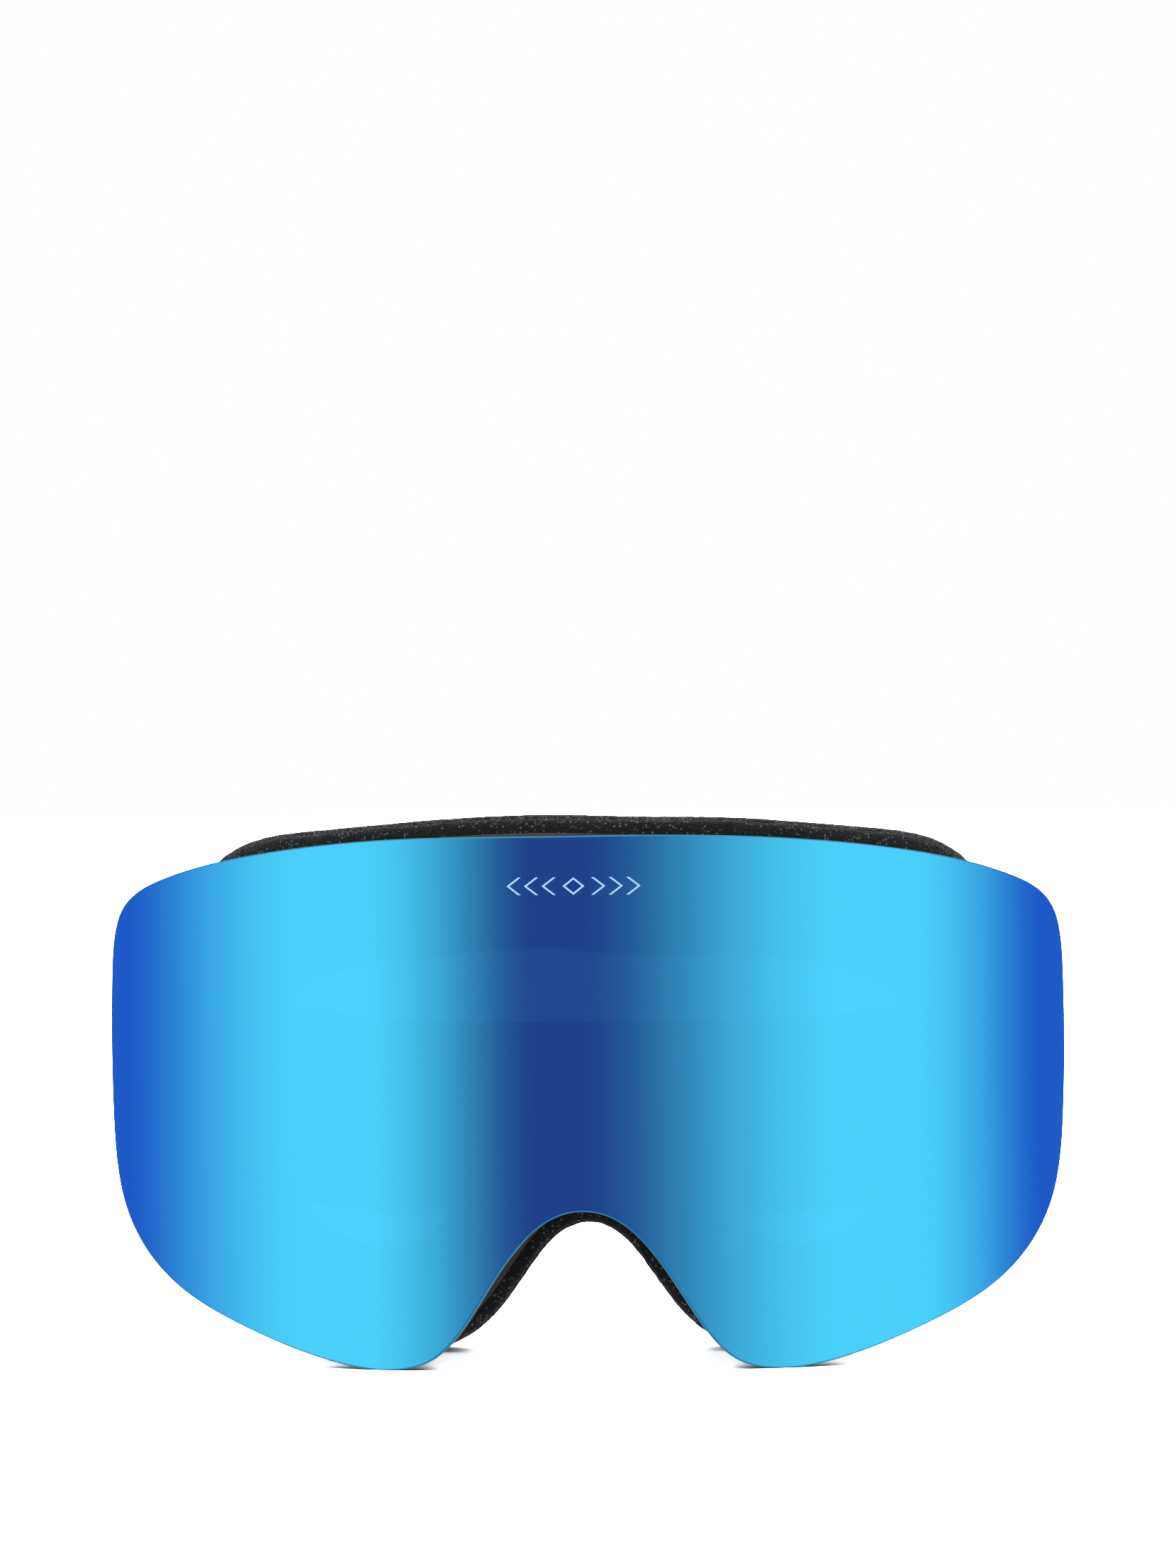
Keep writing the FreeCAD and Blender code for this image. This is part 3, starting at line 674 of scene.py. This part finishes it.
def strap_line():
    """The right half of the strap: round the bar, along the side, and round to the back."""
    line = []
    for i in range(HALF_TURN_STEPS + 1):
        turn = math.pi * i / HALF_TURN_STEPS
        line.append(Vector((BAR.x - LAYER * math.cos(turn), BAR.y - LAYER * math.sin(turn), STRAP_Z)))
    steps = int((REAR_START_Y - BAR.y) / SIDE_STEP)
    for i in range(1, steps):
        line.append(Vector((BAR.x + LAYER, BAR.y + (REAR_START_Y - BAR.y) * i / steps, STRAP_Z)))
    line += [rear_line(math.pi / 2 * i / REAR_STEPS) for i in range(REAR_STEPS + 1)]
    return line


def band_section(width, thick, ribs, pitch):
    """A band's cross-section as (across, out) points: two ribbed faces and rounded selvedges."""
    half = width / 2
    round_off = thick / 2
    steps = max(4, int(width / pitch * 4))
    flat = np.linspace(-(half - round_off), half - round_off, steps + 1)
    relief = ribs * np.cos(2 * math.pi * flat / pitch)
    section = [(v, round_off + r) for v, r in zip(flat, relief)]
    for angle in (60, 30, 0, -30, -60):
        a = math.radians(angle)
        section.append((half - round_off + round_off * math.cos(a), round_off * math.sin(a)))
    section += [(v, -round_off - r) for v, r in zip(flat[::-1], relief[::-1])]
    for angle in (-60, -30, 0, 30, 60):
        a = math.radians(angle)
        section.append((-(half - round_off) - round_off * math.cos(a), round_off * math.sin(a)))
    return section


def sweep(name, line, section, material, side, across=0.0, out=0.0):
    """A closed band along a line, upright, with capped ends and UV in metres."""
    count = len(section)
    verts, lengths = [], [0.0]
    for a, b in zip(line, line[1:]):
        lengths.append(lengths[-1] + (b - a).length)
    for i, place in enumerate(line):
        ahead = line[min(i + 1, len(line) - 1)] - line[max(i - 1, 0)]
        outward = Vector((ahead.y, -ahead.x, 0)).normalized()
        for v, w in section:
            p = place + outward * (out + w) + Vector((0, 0, across + v))
            verts.append((side * p.x, p.y, p.z))
    polygons = []
    for i in range(len(line) - 1):
        a, b = i * count, (i + 1) * count
        for k in range(count):
            m = (k + 1) % count
            polygons.append((a + k, a + m, b + m, b + k)[::side])
    polygons.append(tuple(range(count))[::-side])
    polygons.append(tuple(range(len(verts) - count, len(verts)))[::side])
    mesh = bpy.data.meshes.new(name)
    mesh.from_pydata(verts, [], polygons)
    layer = mesh.uv_layers.new(name="UVMap")
    for polygon in mesh.polygons:
        for loop in polygon.loop_indices:
            vertex = mesh.loops[loop].vertex_index
            layer.data[loop].uv = (lengths[vertex // count], section[vertex % count][0] + across)
    obj = add_mesh(name, mesh, material)
    mesh.set_sharp_from_angle(angle=SHARP_FROM)
    return obj, lengths[-1]


def build_straps():
    cloth = webbing("webbing", (0.02, 0.13, 0.36))
    plain = webbing("webbing_plain")
    grip = silicone_skin()
    line = strap_line()
    section = band_section(STRAP_WIDTH, STRAP_THICK, RIB_HEIGHT, RIB_PITCH)
    bead = band_section(1.8 * MM, 0.9 * MM, 0.0, 1.0 * MM)
    start = math.acos(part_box("silicone_grip")[1].x / (BAR.x + LAYER - STRAP_THICK / 2))
    grip_line = [rear_line(start + (math.pi / 2 - start) * i / GRIP_STEPS) for i in range(GRIP_STEPS + 1)]
    for name, side in SIDES.items():
        band, length = sweep(f"strap_{name}", line, section, cloth, side)
        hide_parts(f"strap_side_{name}", "strap_rear")
        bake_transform(band)
        for number, row in enumerate(GRIP_ROWS):
            rib, _ = sweep(f"grip_{name}_{number + 1}", grip_line, bead, grip, side, row,
                           -STRAP_THICK / 2 - GRIP_SINK)
            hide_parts("silicone_grip")
            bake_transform(rib)
        build_tail(name, side, plain)


def build_tail(name, side, cloth):
    """The webbing's inner layer, and its stitched loop round the slider's middle bar."""
    tail_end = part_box(f"strap_tail_{name}")[1].y
    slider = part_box(f"slider_{name}")
    inner = min(abs(slider[0].x), abs(slider[1].x))
    steps = 30
    reach = tail_end - BAR.y
    line = [Vector((BAR.x - LAYER, BAR.y + reach * i / steps, STRAP_Z)) for i in range(steps + 1)]
    thin = band_section(STRAP_WIDTH - TAIL_THIN, STRAP_THICK - TAIL_THIN, RIB_HEIGHT, RIB_PITCH)
    tail, length = sweep(f"tail_{name}", line[::-1], thin, cloth, side)
    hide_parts(f"strap_tail_{name}")
    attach(tail, f"outrigger_arm_{name}")
    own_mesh(tail)

    middle_y = (slider[0].y + slider[1].y) / 2
    bar_half = 1.6 * MM
    bar_thick = 1.6 * MM
    gap = 0.12 * MM
    outer_x = inner + bar_thick + gap + STRAP_THICK / 2
    inner_x = inner - gap - STRAP_THICK / 2
    centre_x = (outer_x + inner_x) / 2
    radius = (outer_x - inner_x) / 2
    loop = smooth_line([
        (BAR.x - LAYER, tail_end - 3.4 * MM), (BAR.x - LAYER + 0.4 * MM, tail_end - 1.8 * MM),
        (outer_x - 0.3 * MM, middle_y - bar_half - 0.4 * MM), (outer_x, middle_y - 0.6 * MM),
        (outer_x, middle_y + bar_half - radius * 0.3),
    ])
    for i in range(1, HALF_TURN_STEPS + 1):
        turn = math.pi * i / HALF_TURN_STEPS
        loop.append(Vector((centre_x + radius * math.cos(turn),
                            middle_y + bar_half - radius * 0.3 + radius * math.sin(turn), STRAP_Z)))
    fold_x = BAR.x - LAYER - STRAP_THICK - gap
    loop += smooth_line([
        (inner_x, middle_y - bar_half), (fold_x, middle_y - 6 * MM), (fold_x, middle_y - 10 * MM),
        (fold_x, middle_y - 15 * MM),
    ])
    section = band_section(STRAP_WIDTH, STRAP_THICK, RIB_HEIGHT, RIB_PITCH)
    band, length = sweep(f"tail_loop_{name}", loop[::-1], section, cloth, side)
    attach(band, f"strap_slider_{name}")
    build_stitches(name, side, fold_x - STRAP_THICK / 2, (middle_y - 12 * MM, middle_y - 8 * MM))


def smooth_line(points, steps=6):
    """Points on a smooth open plan curve through places, at the strap's height."""
    ends = [points[0], *points, points[-1]]
    line = []
    for i in range(len(points) - 1):
        p = [Vector(q) for q in ends[i:i + 4]]
        for k in range(steps):
            t = k / steps
            q = between(p, t)
            line.append(Vector((q.x, q.y, STRAP_Z)))
    line.append(Vector((points[-1][0], points[-1][1], STRAP_Z)))
    return line


STITCH_LENGTH = 2.0 * MM
STITCH_GAP = 0.7 * MM
THREAD_RADIUS = 0.22 * MM
STITCH_MARGIN = 2 * MM                  # from the webbing's edge to the first stitch


def build_stitches(name, side, x, rows):
    """Rows of upright stitches through the folded webbing end."""
    thread = moulded("thread", (0.02, 0.09, 0.22), (0.05, 0.19, 0.42), 0.2 * MM, 0.05 * MM, (0.5, 0.8))
    bm = bmesh.new()
    low = STRAP_LOW + STITCH_MARGIN
    pitch = STITCH_LENGTH + STITCH_GAP
    count = int((STRAP_WIDTH - 2 * STITCH_MARGIN) / pitch)
    for y in rows:
        for i in range(count):
            middle = Vector((side * (x - THREAD_RADIUS * 0.3), y, low + (i + 0.5) * pitch))
            made = bmesh.ops.create_uvsphere(bm, u_segments=8, v_segments=6, radius=THREAD_RADIUS)
            for vert in made["verts"]:
                vert.co.z *= STITCH_LENGTH / 2 / THREAD_RADIUS
                vert.co += middle
    mesh = bpy.data.meshes.new(f"tail_stitches_{name}")
    bm.to_mesh(mesh)
    bm.free()
    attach(add_mesh(mesh.name, mesh, thread), f"strap_slider_{name}")


# ---- hard parts ----
EDGE_ROUND = 0.3 * MM
ROUND_FROM = math.radians(50)           # edges that turn by less than this stay as they are


def finish_hard_parts():
    """Materials for the CAD parts that are shown as they are."""
    frame_plastic = moulded("frame_plastic", (0.050, 0.052, 0.054), (0.078, 0.080, 0.083), 0.35 * MM,
                            0.03 * MM, (0.42, 0.62))
    rubber = moulded("face_rubber", (0.070, 0.072, 0.074), (0.100, 0.102, 0.105), 0.5 * MM, 0.04 * MM,
                     (0.6, 0.8))
    carrier = moulded("carrier_plastic", (0.014, 0.014, 0.016), (0.028, 0.028, 0.031), 0.3 * MM,
                      0.02 * MM, (0.3, 0.45))
    arm = moulded("outrigger_plastic", (0.014, 0.014, 0.016), (0.030, 0.031, 0.034), 0.3 * MM,
                  0.025 * MM, (0.3, 0.5))
    clip = moulded("slider_plastic", (0.010, 0.010, 0.011), (0.022, 0.022, 0.024), 0.4 * MM,
                   0.012 * MM, (0.18, 0.3))
    steel = brushed_steel()
    magnet = magnet_plate()
    paints = {
        "frame_chassis": frame_plastic, "face_frame": rubber, "lens_carrier": carrier,
        "inner_lens": inner_sheet(), "carrier_magnets": magnet, "chassis_magnets": magnet,
    }
    for name in SIDES:
        paints[f"outrigger_{name}"] = arm
        paints[f"slider_{name}"] = clip
        paints[f"outrigger_pin_{name}"] = steel
    for node, material in paints.items():
        obj = NODES[node]
        obj.data.materials.clear()
        obj.data.materials.append(material)
    for name in SIDES:
        for node in (f"outrigger_{name}", f"slider_{name}"):
            soften(NODES[node], EDGE_ROUND)


def soften(obj, width):
    """Rounds a CAD part's sharp edges."""
    weld = obj.modifiers.new("weld", "WELD")
    weld.merge_threshold = WELD
    bevel = obj.modifiers.new("round", "BEVEL")
    bevel.width = width
    bevel.segments = 2
    bevel.limit_method = "ANGLE"
    bevel.angle_limit = ROUND_FROM
    bevel.use_clamp_overlap = True
    bevel.harden_normals = False


# ---- light, floor and camera ----
MIRROR_GAIN = 0.94                      # the share of light that comes back from the coated lens
# The lens mirrors two soft panels, one to each side, with a dim gap between them.
PANEL_LOOK = (0.064, 0.60, 0.91)        # the lens's colour where it mirrors a panel
GAP_LOOK = (0.012, 0.05, 0.24)
SIDE_LOOK = (0.010, 0.095, 0.545)
LEFT_PANEL = (-56, -46)                 # degrees from straight ahead, where each panel is brightest
RIGHT_PANEL = (52, 65)
GAP = (-10, -2)
LEFT_SIDE = -106
RIGHT_SIDE = 101
BEHIND_FROM = 140
BEHIND = (0.35, 0.35, 0.37)
OVERHEAD = (0.5, 0.51, 0.53)
UNDERFOOT = (0.3, 0.34, 0.4)
ROOM_LIGHT = (0.93, 0.94, 0.96)


def surroundings():
    """The studio round the lens: (share of a turn, colour) stops, from the left round to the right."""
    looks = [(LEFT_SIDE, SIDE_LOOK), *((angle, PANEL_LOOK) for angle in LEFT_PANEL),
             *((angle, GAP_LOOK) for angle in GAP), *((angle, PANEL_LOOK) for angle in RIGHT_PANEL),
             (RIGHT_SIDE, SIDE_LOOK)]
    stops = [(-BEHIND_FROM, BEHIND)]
    for angle, look in looks:
        stops.append((angle, [c / (t * MIRROR_GAIN) for c, t in zip(look, MIRROR_TINT)]))
    stops.append((BEHIND_FROM, BEHIND))
    return [(0.5 + angle / 360, colour) for angle, colour in stops]


def build_world():
    world = bpy.data.worlds.new("studio")
    SCENE.world = world
    world.use_nodes = True
    tree = world.node_tree
    tree.nodes.clear()

    def node(kind, inputs=(), **settings):
        made = tree.nodes.new("ShaderNode" + kind)
        for key, value in settings.items():
            setattr(made, key, value)
        for key, value in dict(inputs).items():
            if isinstance(value, bpy.types.NodeSocket):
                tree.links.new(value, made.inputs[key])
            else:
                made.inputs[key].default_value = value
        return made

    def mixed(share, a, b):
        made = node("Mix", {0: share}, data_type="RGBA")
        for socket, value in ((made.inputs[6], a), (made.inputs[7], b)):
            if isinstance(value, tuple):
                socket.default_value = (*value, 1)
            else:
                tree.links.new(value, socket)
        return made.outputs[2]

    split = node("SeparateXYZ", {"Vector": node("TexCoord").outputs["Generated"]})
    ahead = node("Math", {0: split.outputs["Y"], 1: -1.0}, operation="MULTIPLY").outputs[0]
    angle = node("Math", {0: split.outputs["X"], 1: ahead}, operation="ARCTAN2").outputs[0]
    share = node("Math", {0: angle, 1: 1 / math.tau, 2: 0.5}, operation="MULTIPLY_ADD").outputs[0]
    ramp = node("ValToRGB", {"Fac": share})
    stops = surroundings()
    ramp.color_ramp.interpolation = "EASE"
    elements = ramp.color_ramp.elements
    while len(elements) < len(stops):
        elements.new(0.5)
    for element, (at, _) in zip(elements, stops):
        element.position = at
    for element, (_, colour) in zip(elements, stops):
        element.color = (*colour, 1)
    high = node("MapRange", {"Value": split.outputs["Z"], "From Min": 0.45, "From Max": 0.75})
    low = node("MapRange", {"Value": split.outputs["Z"], "From Min": -0.3, "From Max": -0.6})
    seen = mixed(high.outputs["Result"], ramp.outputs["Color"], OVERHEAD)
    seen = mixed(low.outputs["Result"], seen, UNDERFOOT)
    path = node("LightPath")
    lit = mixed(path.outputs["Is Glossy Ray"], ROOM_LIGHT, seen)
    lit = mixed(path.outputs["Is Camera Ray"], lit, (1.0, 1.0, 1.0))
    background = node("Background", {"Color": lit})
    output = node("OutputWorld")
    tree.links.new(background.outputs[0], output.inputs["Surface"])


FLOOR_WHITE = 9.5                       # bright enough that only contact shadows show
FLOOR_REACH = 6.0
CONTACT_SHADOW_REACH = 4 * MM                  # painted contact shadow: the floor's colour is darker this close to the goggles
CONTACT_SHADOW_WHITE = 1.0
BEHIND_LENS = 0.25                      # painted shade: seen through the lens, the floor's colour falls to this share of its brightness


def build_floor():
    s = Surface("studio_floor", Roughness=0.9, Specular_IOR_Level=0.0)
    pale = s.mix(s.noise(60 * MM), (FLOOR_WHITE,) * 3, (FLOOR_WHITE * 1.02,) * 3)
    # Painted shadow: the floor's colour darkens where the goggles are near it, and darkens again where it
    # is seen through the lens.
    near = s.node("AmbientOcclusion", {"Distance": CONTACT_SHADOW_REACH}, samples=8).outputs["AO"]
    shade = s.mix(s.levels(near, 0.15, 0.7), (CONTACT_SHADOW_WHITE,) * 3, pale)
    layers = s.node("LightPath").outputs["Transparent Depth"]
    s.paint("Base Color", s.mix(s.levels(layers, 0.0, 1.0, 1.0, BEHIND_LENS), (0.0, 0.0, 0.0), shade))
    mesh = bpy.data.meshes.new("floor")
    corners = [(x * FLOOR_REACH, y * FLOOR_REACH, 0) for x, y in ((-1, -1), (1, -1), (1, 1), (-1, 1))]
    mesh.from_pydata(corners, [], [(0, 1, 2, 3)])
    floor = add_mesh("floor", mesh, s.material, smooth=False)
    floor.visible_glossy = False
    floor.visible_diffuse = False


LIGHT_PLACE = Vector((0.0, -0.35, 1.1))
LIGHT_AIM = Vector((0, 0, 0.05))
LIGHT_SIZE = (1.2, 0.9)
LIGHT_POWER = 5.0


def build_light():
    data = bpy.data.lights.new("overhead", "AREA")
    data.shape = "RECTANGLE"
    data.size, data.size_y = LIGHT_SIZE
    data.energy = LIGHT_POWER
    light = bpy.data.objects.new("overhead", data)
    SCENE.collection.objects.link(light)
    light.location = LIGHT_PLACE
    light.rotation_euler = (LIGHT_AIM - LIGHT_PLACE).to_track_quat("-Z", "Y").to_euler()
    light.visible_glossy = False


CAMERA_AWAY = 1.5
CAMERA_TURN = math.radians(1.5)
CAMERA_RISE = math.radians(3.0)
CAMERA_LENS = 189.6
CAMERA_ROLL = math.radians(-0.45)
CAMERA_PIVOT = Vector((0, FRONT_Y, 49.2 * MM))
LOOK_AT = Vector((1.6 * MM, FRONT_Y, 106.8 * MM))


def build_camera():
    data = bpy.data.cameras.new("camera")
    data.lens = CAMERA_LENS
    data.sensor_width = 36.0
    data.clip_start = 0.05
    data.clip_end = 50.0
    camera = bpy.data.objects.new("camera", data)
    SCENE.collection.objects.link(camera)
    away = Vector((
        math.sin(CAMERA_TURN) * math.cos(CAMERA_RISE),
        -math.cos(CAMERA_TURN) * math.cos(CAMERA_RISE),
        math.sin(CAMERA_RISE),
    ))
    camera.location = CAMERA_PIVOT + away * CAMERA_AWAY
    facing = (LOOK_AT - camera.location).to_track_quat("-Z", "Y")
    camera.rotation_euler = (facing @ Quaternion((0, 0, 1), CAMERA_ROLL)).to_euler()
    SCENE.camera = camera


build_outer_lens()
build_mark()
build_foams()
build_fleece()
build_straps()
finish_hard_parts()
build_world()
build_floor()
build_light()
build_camera()
SCENE.view_settings.view_transform = "Standard"
